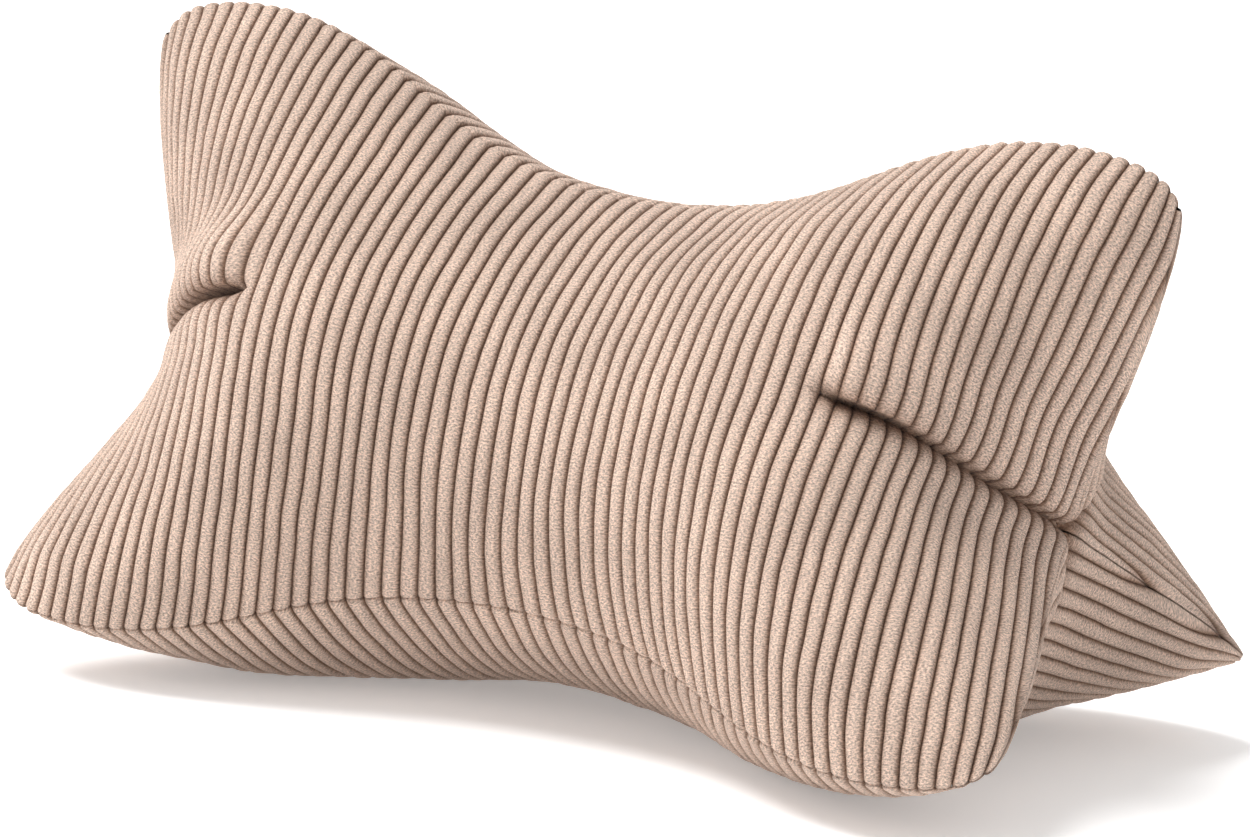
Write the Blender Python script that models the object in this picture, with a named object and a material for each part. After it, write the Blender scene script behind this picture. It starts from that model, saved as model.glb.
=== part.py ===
"""Lumbar support cushion: a bone-shaped pillow of three equal corduroy panels round one long axis.

The long axis is X, the front faces -Y and the floor is Z = 0.  Two of the three fins stand on the
floor and the third points up.  Each panel spans two neighbouring fins and dips between them.
Inside the zipped cover lies a sewn liner, and the liner holds the fibre filling.
"""

import math

import bmesh
import bpy
import numpy as np
from mathutils import Matrix, Vector

# Outline of a fin in its own plane: distance from the axis against X
RIDGE_WAIST = 0.0852  # ridge radius at mid-length
WAIST_ARC = 0.184  # radius of the hollow arc of the ridge, which the zip follows
WAIST_ANGLE = math.radians(29.5)  # half angle of that arc
SHOULDER_ARC = 0.131  # radius of the arc that turns the ridge level again
CORNER_LENGTH = 0.0445  # knob corner, along X
TIP_RADIUS = 0.098  # where the knob corner turns into the end seam

# Crease line down the middle of a panel
CREASE_WAIST = 0.0794
CREASE_MOST = 0.093
CREASE_MOST_X = 0.085
CREASE_END_X = 0.169  # centre of the end, where all three panels meet
CREASE_PULL = 0.026  # how far the end centre is drawn in behind the fin tips
CREASE_PULL_POWER = 6.8
CREASE_FALL_POWER = 0.6

# Section of a half panel: a cubic curve from the crease to the ridge.  The crease tilt is measured from
# the fin's plane and the ridge angle is between the fabric and that plane.
CREASE_TILT, CREASE_TILT_LOST = math.radians(30), math.radians(20)
RIDGE_ANGLE, RIDGE_ANGLE_LOST = math.radians(80), math.radians(38)
RIDGE_FULLNESS = 0.54  # share of the crease's height that the curve aims at next to the ridge
PLUMPNESS, PLUMPNESS_END_POWER = 0.010, 24  # extra height, which fades right at the end
CORNER_SHARE = 0.74  # share of the half length where the knob corner starts
ROW_PLACES = (0.0, 0.30, 0.60, 0.86, 1.0)  # along that curve

AXIS_HEIGHT = 0.085  # the underside is pressed flat at this distance below the axis

WAIST_STEPS, SHOULDER_STEPS, CORNER_STEPS = 6, 4, 4
ROWS = len(ROW_PLACES) - 1

# Layers, as depths below the outer surface
COVER = (0.0, 0.0020)
ZIP_TAPE = (0.0024, 0.0029)
LINER = (0.0034, 0.0042)
FILLING = 0.0046

SEAM_HALF_GAP = 0.00065  # cloth edge to seam plane
THREAD_R = 0.00035
THREAD_END_GAP = 0.004  # seam threads stop short of the end centre by this much

ZIP_COLUMNS = 5  # the slot is fully open this many columns to each side
SLOT_HALF_WIDTH = 0.0036
TAPE_INNER, TAPE_OUTER = 0.0013, 0.0120  # distances of the tape's edges from the seam plane
COIL_R = 0.00075
COIL_OFFSET = 0.00095
COIL_DEPTH = 0.0012
COIL_ANGLE = math.radians(22.4)
STOP_ANGLE = math.radians(23.3)
STOP_SIZE = (0.0016, 0.0036, 0.0012)  # along the zip, across it, proud of the tape
SLIDER_ANGLE = math.radians(20.0)  # the closed end of the slider's travel

SLIDER_LENGTH = 0.0090
SLIDER_HALF_WIDTH = 0.00295
SLIDER_WALL = 0.0008
SLIDER_TOP = 0.0009  # above the cover's surface
SLIDER_ROOF = 0.0009
SLIDER_FOOT = 0.0019  # depth of the flanges
POST_R, POST_TOP = 0.0010, 0.0034
HEAD_R, HEAD_FROM = 0.0019, 0.0027
PULL_FROM, PULL_THICK = 0.0013, 0.0011
PULL_EYE_R, PULL_HOLE_R = 0.0030, 0.00135
PULL_LENGTH, PULL_WIDTH = 0.0200, 0.0050

LABEL_X = 0.0965
LABEL_WIDTH, LABEL_OUT, LABEL_IN, LABEL_THICK = 0.012, 0.012, 0.0015, 0.0005

FIN = [
    np.array([0, math.sin(math.radians(120 * k)), math.cos(math.radians(120 * k))])
    for k in range(3)
]  # 0 points up, 1 back and down, 2 front and down
FACE = [-FIN[(k + 1) % 3] for k in range(3)]  # 0 the front panel, 1 the back, 2 the base
PANELS = ("front", "back", "base")
TOP_FIN, BACK_FIN, FRONT_FIN = 0, 1, 2


# ---------------------------------------------------------------- shape of the cushion


def half_stations():
    """(ridge X, ridge radius, share of the half length) from mid-length to the fin tip."""
    arc_x = WAIST_ARC * math.sin(WAIST_ANGLE)
    arc_top = RIDGE_WAIST + WAIST_ARC * (1 - math.cos(WAIST_ANGLE))
    corner_x = arc_x + SHOULDER_ARC * math.sin(WAIST_ANGLE)
    corner_top = arc_top + SHOULDER_ARC * (1 - math.cos(WAIST_ANGLE))
    found = []
    for i in range(WAIST_STEPS + 1):
        angle = WAIST_ANGLE * i / WAIST_STEPS
        x = WAIST_ARC * math.sin(angle)
        found.append((x, RIDGE_WAIST + WAIST_ARC * (1 - math.cos(angle)), CORNER_SHARE * x / corner_x))
    for i in range(1, SHOULDER_STEPS + 1):
        angle = WAIST_ANGLE * (1 - i / SHOULDER_STEPS)
        x = corner_x - SHOULDER_ARC * math.sin(angle)
        found.append((x, corner_top - SHOULDER_ARC * (1 - math.cos(angle)), CORNER_SHARE * x / corner_x))
    for i in range(1, CORNER_STEPS + 1):
        turn = i / CORNER_STEPS
        angle = turn * math.pi / 2
        x = corner_x + CORNER_LENGTH * math.sin(angle)
        radius = TIP_RADIUS + (corner_top - TIP_RADIUS) * math.cos(angle)
        found.append((x, radius, CORNER_SHARE + (1 - CORNER_SHARE) * turn))
    return found


def crease(share):
    """(X, distance from the axis) of the crease line at this share of the half length."""
    x = (CREASE_END_X + CREASE_PULL) * share - CREASE_PULL * share**CREASE_PULL_POWER
    if x <= CREASE_MOST_X:
        rise = 0.5 - 0.5 * math.cos(math.pi * x / CREASE_MOST_X)
        return x, CREASE_WAIST + (CREASE_MOST - CREASE_WAIST) * rise
    q = min((x - CREASE_MOST_X) / (CREASE_END_X - CREASE_MOST_X), 1.0)
    return x, CREASE_MOST * (1 - q * q) ** CREASE_FALL_POWER


def half_section(station):
    """(X, along the fin, across the fin) of one column, from the crease to the ridge."""
    ridge_x, ridge_r, share = station
    crease_x, crease_r = crease(share)
    start = np.array([crease_r * 0.5, crease_r * math.sqrt(0.75)])
    end = np.array([ridge_r, 0.0])
    tilt = CREASE_TILT - CREASE_TILT_LOST * share**4
    reach = np.linalg.norm(end - start) / 3
    start_handle = start + reach * np.array([math.cos(tilt), -math.sin(tilt)])
    height = RIDGE_FULLNESS * start[1] + PLUMPNESS * share * (1 - share**PLUMPNESS_END_POWER)
    end_handle = end + height * np.array([-1 / math.tan(RIDGE_ANGLE - RIDGE_ANGLE_LOST * share**2), 1])
    rows = []
    for t in ROW_PLACES:
        back = 1 - t
        a, b = start * back**3 + start_handle * 3 * back**2 * t + end_handle * 3 * back * t**2 + end * t**3
        rows.append((crease_x + (ridge_x - crease_x) * t, a, b if crease_r > 0 else 0.0))
    return rows


def side_vector(fin, panel):
    """Unit vector across a fin, from its middle plane towards this panel's side."""
    across = FACE[panel] - FIN[fin] * FIN[fin].dot(FACE[panel])
    return across / np.linalg.norm(across)


def panel_fins(panel):
    """The fins at the panel's first and last row."""
    return (panel + 2) % 3, panel


def panel_grid(panel):
    """Outer surface of a panel: columns along X by rows from one ridge over the crease to the other."""
    half = [half_section(station) for station in half_stations()]
    columns = [(-1, section) for section in half[:0:-1]] + [(1, section) for section in half]
    first, last = panel_fins(panel)
    grid = np.zeros((len(columns), 2 * ROWS + 1, 3))
    for i, (sign, section) in enumerate(columns):
        for j, (x, a, b) in enumerate(section):
            for fin, row in ((first, ROWS - j), (last, ROWS + j)):
                grid[i, row] = FIN[fin] * a + side_vector(fin, panel) * b + np.array([sign * x, 0, 0])
    return grid


def outward_mitres(panel, grid):
    """For each grid point, the move that shifts every facet round it outwards by one unit."""
    a, b = grid[1:, 1:] - grid[:-1, :-1], grid[:-1, 1:] - grid[1:, :-1]
    facets = np.cross(a, b)
    facets /= np.linalg.norm(facets, axis=2)[..., None]
    if facets[facets.shape[0] // 2, ROWS].dot(FACE[panel]) < 0:
        facets = -facets
    columns, rows = grid.shape[:2]
    first, last = panel_fins(panel)
    mitres = np.zeros_like(grid)
    for i in range(columns):
        for j in range(rows):
            near = facets[max(i - 1, 0) : i + 1, max(j - 1, 0) : j + 1].reshape(-1, 3)
            mean = near.sum(axis=0)
            at_end = i in (0, columns - 1)
            if at_end and j == ROWS:
                mean = np.array([math.copysign(1, grid[i, j, 0]), 0, 0])
            elif at_end or j in (0, rows - 1):
                side = side_vector(first if j < ROWS else last, panel)
                mean = mean - side * side.dot(mean)
            mean /= np.linalg.norm(mean)
            mitres[i, j] = mean / max((near @ mean).min(), 0.35)
    return mitres


def inner_neighbour(i, j, columns, rows):
    """The grid point one step further in from an edge point."""
    return min(max(i, 1), columns - 2), min(max(j, 1), rows - 2)


def is_zip_edge(panel, i, j, columns):
    """Whether this edge point borders the zip's slot."""
    first, last = panel_fins(panel)
    on_back_ridge = (j == 0 and first == BACK_FIN) or (j == 2 * ROWS and last == BACK_FIN)
    return on_back_ridge and abs(i - columns // 2) <= ZIP_COLUMNS


def layer(panel, depth, slot=False):
    """The panel's surface at this depth, with its edges drawn back from the seams and off the floor."""
    grid = panel_grid(panel)
    surface = grid - depth * outward_mitres(panel, grid)
    columns, rows = surface.shape[:2]
    first, last = panel_fins(panel)
    drawn = surface.copy()
    for i in range(columns):
        for j in range(rows):
            if i not in (0, columns - 1) and j not in (0, rows - 1):
                continue
            side = side_vector(first if j < ROWS else last, panel)
            gap = SLOT_HALF_WIDTH if slot and is_zip_edge(panel, i, j, columns) else SEAM_HALF_GAP
            inward = side
            if i not in (0, columns - 1) or j not in (0, rows - 1):
                inward = surface[inner_neighbour(i, j, columns, rows)] - surface[i, j]
                inward /= np.linalg.norm(inward)
            drawn[i, j] = surface[i, j] + inward * gap / max(inward.dot(side), 0.2)
    drawn[..., 2] = np.maximum(drawn[..., 2], depth - AXIS_HEIGHT)
    return drawn


def on_floor(points):
    """Lift from the axis to the world, where the floor is Z = 0."""
    return np.asarray(points, float) + np.array([0, 0, AXIS_HEIGHT])


def seam_points(fin, depth):
    """Points of a fin's seam at this depth, from one end centre round the ridge to the other."""
    panel = fin
    grid = panel_grid(panel)
    surface = grid - depth * outward_mitres(panel, grid)
    start, end = surface[0, ROWS:], surface[-1, ROWS:]
    return np.concatenate([start[:-1], surface[:, -1], end[-2::-1]])


# ---------------------------------------------------------------- building blocks


def material(name, colour, roughness, metallic=0.0):
    made = bpy.data.materials.new(name)
    made.use_nodes = True
    shader = made.node_tree.nodes["Principled BSDF"]
    shader.inputs["Base Color"].default_value = (*colour, 1.0)
    shader.inputs["Roughness"].default_value = roughness
    shader.inputs["Metallic"].default_value = metallic
    return made


def add_object(name, data, finish, smooth=False):
    obj = bpy.data.objects.new(name, data)
    bpy.context.scene.collection.objects.link(obj)
    data.materials.append(finish)
    if smooth:
        data.shade_smooth()
    return obj


def closed_mesh(name, vertices, faces):
    mesh = bpy.data.meshes.new(name)
    mesh.from_pydata([tuple(v) for v in vertices], [], faces)
    shape = bmesh.new()
    shape.from_mesh(mesh)
    bmesh.ops.triangulate(shape, faces=shape.faces)
    bmesh.ops.recalc_face_normals(shape, faces=shape.faces)
    shape.to_mesh(mesh)
    shape.free()
    return mesh


def grid_facets(columns, rows, base=0):
    """Triangles over a grid, split the same way in every layer and towards its four corners."""
    facets = []
    for i in range(columns - 1):
        for j in range(rows - 1):
            at = base + i * rows + j
            if (i < columns // 2) == (j < rows // 2):
                facets += [(at, at + rows, at + rows + 1), (at, at + rows + 1, at + 1)]
            else:
                facets += [(at, at + rows, at + 1), (at + rows, at + rows + 1, at + 1)]
    return facets


def sheet_between(name, outer, inner, finish):
    """A thin solid sheet between two grids of the same size, closed round its edge."""
    columns, rows = outer.shape[:2]
    vertices = np.concatenate([on_floor(outer).reshape(-1, 3), on_floor(inner).reshape(-1, 3)])
    under = columns * rows
    faces = grid_facets(columns, rows)
    faces += [facet[::-1] for facet in grid_facets(columns, rows, under)]
    rim = [j for j in range(rows)]
    rim += [i * rows + rows - 1 for i in range(1, columns)]
    rim += [(columns - 1) * rows + j for j in range(rows - 2, -1, -1)]
    rim += [i * rows for i in range(columns - 2, 0, -1)]
    for here, there in zip(rim, rim[1:] + rim[:1]):
        faces.append((here, there, there + under, here + under))
    return add_object(name, closed_mesh(name, vertices, faces), finish)


def tube(name, points, radius, resolution, finish):
    """A thin tube along straight runs between points."""
    curve = bpy.data.curves.new(name, "CURVE")
    curve.dimensions = "3D"
    curve.bevel_depth = radius
    curve.bevel_resolution = resolution
    curve.use_fill_caps = True
    spline = curve.splines.new("POLY")
    spline.points.add(len(points) - 1)
    for knot, place in zip(spline.points, on_floor(points)):
        knot.co = (*place, 1.0)
    return add_object(name, curve, finish)


def boolean(target, other, operation):
    """Join or cut with another object, which then only serves as a guide."""
    step = target.modifiers.new(other.name, "BOOLEAN")
    step.operation = operation
    step.solver = "EXACT"
    step.object = other
    other.hide_render = True
    other.display_type = "WIRE"
    other.parent = target
    other.matrix_parent_inverse = target.matrix_basis.inverted()


def turned(name, radius, low, high, finish, sides=24):
    """A round bar along local Z."""
    mesh = bpy.data.meshes.new(name)
    shape = bmesh.new()
    middle = Matrix.Translation((0, 0, (low + high) / 2))
    bmesh.ops.create_cone(
        shape, cap_ends=True, segments=sides, radius1=radius, radius2=radius, depth=high - low, matrix=middle
    )
    shape.to_mesh(mesh)
    shape.free()
    return add_object(name, mesh, finish)


def extruded(name, outline, low, high, finish, axis="Z"):
    """An outline extruded along local Z, or along local X when it is given in the YZ plane."""
    if axis == "Z":
        places = [(x, y, z) for z in (low, high) for x, y in outline]
    else:
        places = [(x, y, z) for x in (low, high) for y, z in outline]
    count = len(outline)
    faces = [tuple(range(count)), tuple(range(2 * count - 1, count - 1, -1))]
    faces += [(i, (i + 1) % count, (i + 1) % count + count, i + count) for i in range(count)]
    return add_object(name, closed_mesh(name, places, faces), finish)


# ---------------------------------------------------------------- cloth, thread and filling


def add_cloth_layer(prefix, depths, finish, slot):
    for panel, side in enumerate(PANELS):
        outer, inner = layer(panel, depths[0], slot), layer(panel, depths[1], slot)
        sheet_between(f"{prefix}_{side}_panel", outer, inner, finish)


def seam_run(fin, depth, from_x=None, to_x=None):
    """A seam's points without its last few millimetres, cut to a range of X along the ridge."""
    points = seam_points(fin, depth)
    keep = np.linalg.norm(points[:, 1:], axis=1) > THREAD_END_GAP
    if from_x is not None:
        keep &= points[:, 0] > from_x
    if to_x is not None:
        keep &= points[:, 0] < to_x
    return points[keep]


def add_cover_threads(finish):
    depth = sum(COVER) / 2
    label_edge = LABEL_X + LABEL_WIDTH / 2 + 0.001
    slot_end = WAIST_ARC * math.sin(WAIST_ANGLE) - 0.001
    runs = {
        "seam_thread_top": seam_run(TOP_FIN, depth),
        "seam_thread_front": seam_run(FRONT_FIN, depth),
        "seam_thread_back_left": seam_run(BACK_FIN, depth, to_x=-slot_end),
        "seam_thread_back_right": seam_run(BACK_FIN, depth, from_x=label_edge),
    }
    for name, points in runs.items():
        tube(name, points, THREAD_R, 1, finish)


def add_liner_threads(finish):
    depth = sum(LINER) / 2
    for name, fin in (("top", TOP_FIN), ("front", FRONT_FIN), ("back", BACK_FIN)):
        tube(f"liner_thread_{name}", seam_run(fin, depth), THREAD_R, 0, finish)


def add_filling(finish):
    """The filling is one closed body, welded along the three ridges and at both end centres."""
    vertices, faces = [], []
    for panel in range(3):
        grid = panel_grid(panel)
        surface = grid - FILLING * outward_mitres(panel, grid)
        surface[..., 2] = np.maximum(surface[..., 2], FILLING - AXIS_HEIGHT)
        faces += grid_facets(*surface.shape[:2], len(vertices))
        vertices.extend(on_floor(surface).reshape(-1, 3))
    mesh = bpy.data.meshes.new("fibre_filling")
    mesh.from_pydata([tuple(v) for v in vertices], [], faces)
    shape = bmesh.new()
    shape.from_mesh(mesh)
    bmesh.ops.remove_doubles(shape, verts=shape.verts, dist=1e-5)
    bmesh.ops.recalc_face_normals(shape, faces=shape.faces)
    shape.to_mesh(mesh)
    shape.free()
    add_object("fibre_filling", mesh, finish)


# ---------------------------------------------------------------- zip and label


def zip_frame(angle):
    """(place, along the zip, across it towards the base, out of the cushion) on the back ridge's arc."""
    out = -math.sin(angle) * np.array([1.0, 0, 0]) + math.cos(angle) * FIN[BACK_FIN]
    along = math.cos(angle) * np.array([1.0, 0, 0]) + math.sin(angle) * FIN[BACK_FIN]
    centre = FIN[BACK_FIN] * (RIDGE_WAIST + WAIST_ARC)
    return centre - WAIST_ARC * out, along, side_vector(BACK_FIN, 2), out


def zip_matrix(angle):
    """World matrix whose X runs along the zip, Y across it towards the base and Z out of the cushion."""
    place, along, across, out = zip_frame(angle)
    turn = Matrix((along, np.cross(out, along), out)).transposed().to_4x4()
    return Matrix.Translation(Vector(on_floor(place))) @ turn


def add_tape(name, panel, edge_row, next_row, finish):
    """A flat tape under a panel's edge along the slot."""
    middle = panel_grid(panel).shape[0] // 2
    used = slice(middle - ZIP_COLUMNS - 1, middle + ZIP_COLUMNS + 2)
    grid = panel_grid(panel)
    mitres = outward_mitres(panel, grid)
    sides = []
    for depth in ZIP_TAPE:
        surface = grid - depth * mitres
        edge, inside = surface[used, edge_row], surface[used, next_row]
        step = (inside - edge) / np.linalg.norm(inside - edge, axis=1)[:, None]
        sides.append(np.stack([edge + step * TAPE_INNER, edge + step * TAPE_OUTER], axis=1))
    sheet_between(name, sides[0], sides[1], finish)


def add_coil(name, side, finish):
    steps = 20
    points = []
    for i in range(steps + 1):
        place, _, across, out = zip_frame(COIL_ANGLE * (2 * i / steps - 1))
        points.append(place + across * side * COIL_OFFSET - out * COIL_DEPTH)
    tube(name, points, COIL_R, 1, finish)


def add_stop(name, angle, finish):
    """A small bar pressed across both tapes just past the coil's end."""
    length, width, height = STOP_SIZE
    low = -ZIP_TAPE[0] + 0.0004
    outline = [(-length / 2, -width / 2), (length / 2, -width / 2), (length / 2, width / 2), (-length / 2, width / 2)]
    bar = extruded(name, outline, low, low + height, finish)
    bar.matrix_world = zip_matrix(angle)


def add_slider(finish):
    """A saddle over both coils with a headed post for the pull."""
    outer, inner = SLIDER_HALF_WIDTH, SLIDER_HALF_WIDTH - SLIDER_WALL
    roof = SLIDER_TOP - SLIDER_ROOF
    profile = [
        (-outer, -SLIDER_FOOT),
        (-inner, -SLIDER_FOOT),
        (-inner, roof),
        (inner, roof),
        (inner, -SLIDER_FOOT),
        (outer, -SLIDER_FOOT),
        (outer, SLIDER_TOP),
        (-outer, SLIDER_TOP),
    ]
    saddle = extruded("zip_slider", profile, -SLIDER_LENGTH / 2, SLIDER_LENGTH / 2, finish, axis="X")
    post = turned("slider_post_guide", POST_R, SLIDER_TOP / 2, POST_TOP, finish)
    head = turned("slider_head_guide", HEAD_R, HEAD_FROM, POST_TOP + 0.0001, finish)
    boolean(saddle, post, "UNION")
    boolean(saddle, head, "UNION")
    saddle.matrix_world = zip_matrix(SLIDER_ANGLE)


def add_pull(finish):
    """A tab with an eye round the slider's post, hanging straight down from it."""
    half = PULL_WIDTH / 2
    meet = math.asin(half / PULL_EYE_R)
    outline = []
    steps = 12
    for i in range(steps + 1):
        angle = meet + (2 * math.pi - 2 * meet) * i / steps
        outline.append((PULL_EYE_R * math.cos(angle), PULL_EYE_R * math.sin(angle)))
    for i in range(7):
        angle = -math.pi / 2 + math.pi * i / 6
        outline.append((PULL_LENGTH + half * math.cos(angle), half * math.sin(angle)))
    tab = extruded("zip_pull", outline, PULL_FROM, PULL_FROM + PULL_THICK, finish)
    eye = turned("pull_eye_guide", PULL_HOLE_R, PULL_FROM - 0.001, PULL_FROM + PULL_THICK + 0.001, finish)
    boolean(tab, eye, "DIFFERENCE")
    pose = zip_matrix(SLIDER_ANGLE)
    down = pose.to_3x3().inverted() @ Vector((0, 0, -1))
    tab.matrix_world = pose @ Matrix.Rotation(math.atan2(down.y, down.x), 4, "Z")


def add_label(finish):
    """A blank folded care label caught in the back seam beside the zip."""
    turn = 2 * WAIST_ANGLE - math.asin((2 * WAIST_ARC * math.sin(WAIST_ANGLE) - LABEL_X) / WAIST_ARC)
    grid = panel_grid(1)
    ridge = grid[:, -1]
    radius = float(np.interp(LABEL_X, ridge[:, 0], np.linalg.norm(ridge[:, 1:], axis=1)))
    side = side_vector(BACK_FIN, 2)
    along = np.array([1.0, 0, 0]) * math.cos(turn) + FIN[BACK_FIN] * math.sin(turn)
    out = np.cross(side, along)
    out = out if out.dot(FIN[BACK_FIN]) > 0 else -out
    place = np.array([LABEL_X, 0, 0]) + FIN[BACK_FIN] * radius
    corners = []
    for thick in (-LABEL_THICK / 2, LABEL_THICK / 2):
        for u, v in ((-1, -LABEL_IN), (1, -LABEL_IN), (1, LABEL_OUT), (-1, LABEL_OUT)):
            corners.append(place + along * u * LABEL_WIDTH / 2 + out * v + side * thick)
    faces = [(0, 1, 2, 3), (7, 6, 5, 4), (0, 4, 5, 1), (1, 5, 6, 2), (2, 6, 7, 3), (3, 7, 4, 0)]
    add_object("care_label", closed_mesh("care_label", on_floor(corners), faces), finish)


def add_zip(tape_finish, coil_finish, metal):
    add_tape("zip_tape_upper", 1, 2 * ROWS, 2 * ROWS - 1, tape_finish)
    add_tape("zip_tape_lower", 2, 0, 1, tape_finish)
    add_coil("zip_coil_upper", -1, coil_finish)
    add_coil("zip_coil_lower", 1, coil_finish)
    add_stop("zip_stop_left", -STOP_ANGLE, metal)
    add_stop("zip_stop_right", STOP_ANGLE, metal)
    add_slider(metal)
    add_pull(metal)


def main():
    for obj in list(bpy.data.objects):
        bpy.data.objects.remove(obj)
    corduroy = material("corduroy", (0.52, 0.37, 0.29), 0.92)
    thread = material("thread", (0.50, 0.36, 0.28), 0.70)
    cotton = material("liner_cotton", (0.82, 0.80, 0.76), 0.85)
    fibre = material("polyester_fibre", (0.90, 0.90, 0.88), 0.95)
    tape = material("zip_tape", (0.42, 0.30, 0.23), 0.80)
    nylon = material("zip_nylon", (0.45, 0.33, 0.26), 0.40)
    metal = material("zip_metal", (0.62, 0.60, 0.56), 0.30, 1.0)
    satin = material("label_satin", (0.90, 0.89, 0.86), 0.45)
    add_cloth_layer("cover", COVER, corduroy, slot=True)
    add_cover_threads(thread)
    add_zip(tape, nylon, metal)
    add_label(satin)
    add_cloth_layer("liner", LINER, cotton, slot=False)
    add_liner_threads(thread)
    add_filling(fibre)


main()
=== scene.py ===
"""Looks of the lumbar support cushion: the sewn corduroy cover is solved as cloth and filled out."""

import math

import bpy
import numpy as np
from mathutils import Matrix, Vector


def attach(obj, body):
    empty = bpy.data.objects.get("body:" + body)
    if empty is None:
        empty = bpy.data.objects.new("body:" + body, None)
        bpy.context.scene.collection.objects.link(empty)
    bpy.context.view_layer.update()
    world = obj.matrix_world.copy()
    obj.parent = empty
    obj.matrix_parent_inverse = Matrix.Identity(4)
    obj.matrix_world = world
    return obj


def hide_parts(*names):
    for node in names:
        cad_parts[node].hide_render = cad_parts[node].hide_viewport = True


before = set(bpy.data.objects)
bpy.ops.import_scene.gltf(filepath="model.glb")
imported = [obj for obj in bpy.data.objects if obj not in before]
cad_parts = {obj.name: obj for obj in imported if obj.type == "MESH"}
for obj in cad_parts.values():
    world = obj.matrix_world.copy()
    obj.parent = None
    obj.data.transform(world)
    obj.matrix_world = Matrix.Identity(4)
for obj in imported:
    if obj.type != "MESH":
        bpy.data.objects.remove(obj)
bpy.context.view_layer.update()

CORD = 0.00635  # pitch of the corduroy
AXIS_HEIGHT = 0.085  # the cushion's long axis above the floor
FIN = [np.array([0.0, math.sin(2 * math.pi * k / 3), math.cos(2 * math.pi * k / 3)]) for k in range(3)]
FACE = [-FIN[(k + 1) % 3] for k in range(3)]
PANELS = ("front", "back", "base")

# ---------------------------------------------------------------- flat pattern of one panel

HALF_LENGTH = 33 * CORD
END_CROWN = 2 * CORD  # how far the end edge stands out at mid-width
CROWN_REACH = 4
WAIST_WIDTH, KNOB_WIDTH, CORNER_WIDTH = 0.084, 0.125, 0.105  # half widths
KNOB_AT = 0.178
CORNER_POWER = 2.8


def half_width(c):
    """Half width of the flat panel at this column."""
    a = np.abs(c)
    swell = 0.5 - 0.5 * np.cos(np.pi * np.clip(a / KNOB_AT, 0, 1))
    body = WAIST_WIDTH + (KNOB_WIDTH - WAIST_WIDTH) * swell
    q = np.clip((a - KNOB_AT) / (HALF_LENGTH - KNOB_AT), 0, 1)
    corner = CORNER_WIDTH + (KNOB_WIDTH - CORNER_WIDTH) * (1 - q**CORNER_POWER) ** (1 / CORNER_POWER)
    return np.where(a <= KNOB_AT, body, corner)


def crown(c, v):
    """How far a point of column c lies beyond the column's own place, towards the end."""
    inner = 1 - np.clip(np.abs(v) / CORNER_WIDTH, 0, 1)
    return END_CROWN * inner * (np.abs(c) / HALF_LENGTH) ** CROWN_REACH


# ---------------------------------------------------------------- cloth solve of the sewn cover

ROWS = 9  # rows of a half panel
MAIN_COLUMNS, CORNER_COLUMNS = 29, 5
COMPRESSION = 0.02  # share of the stiffness left when cloth is pushed together
BENDING = 2e-4
DAMPING = 0.995
SEAM_GAP = 0.0005
STAGES = ((4000, 4000, 1200), (3000, 8000, 1000), (3000, 20000, 1200))  # Pa, N/m, steps


def panel_columns():
    main = np.linspace(-KNOB_AT, KNOB_AT, MAIN_COLUMNS)
    turn = np.linspace(0, np.pi / 2, CORNER_COLUMNS + 1)[1:]
    corner = KNOB_AT + (HALF_LENGTH - KNOB_AT) * np.sin(turn)
    return np.concatenate([-corner[::-1], main, corner])


def side_vector(fin, panel):
    """Unit vector across a fin towards this panel's side."""
    across = FACE[panel] - FIN[fin] * FIN[fin].dot(FACE[panel])
    return across / np.linalg.norm(across)


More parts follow.
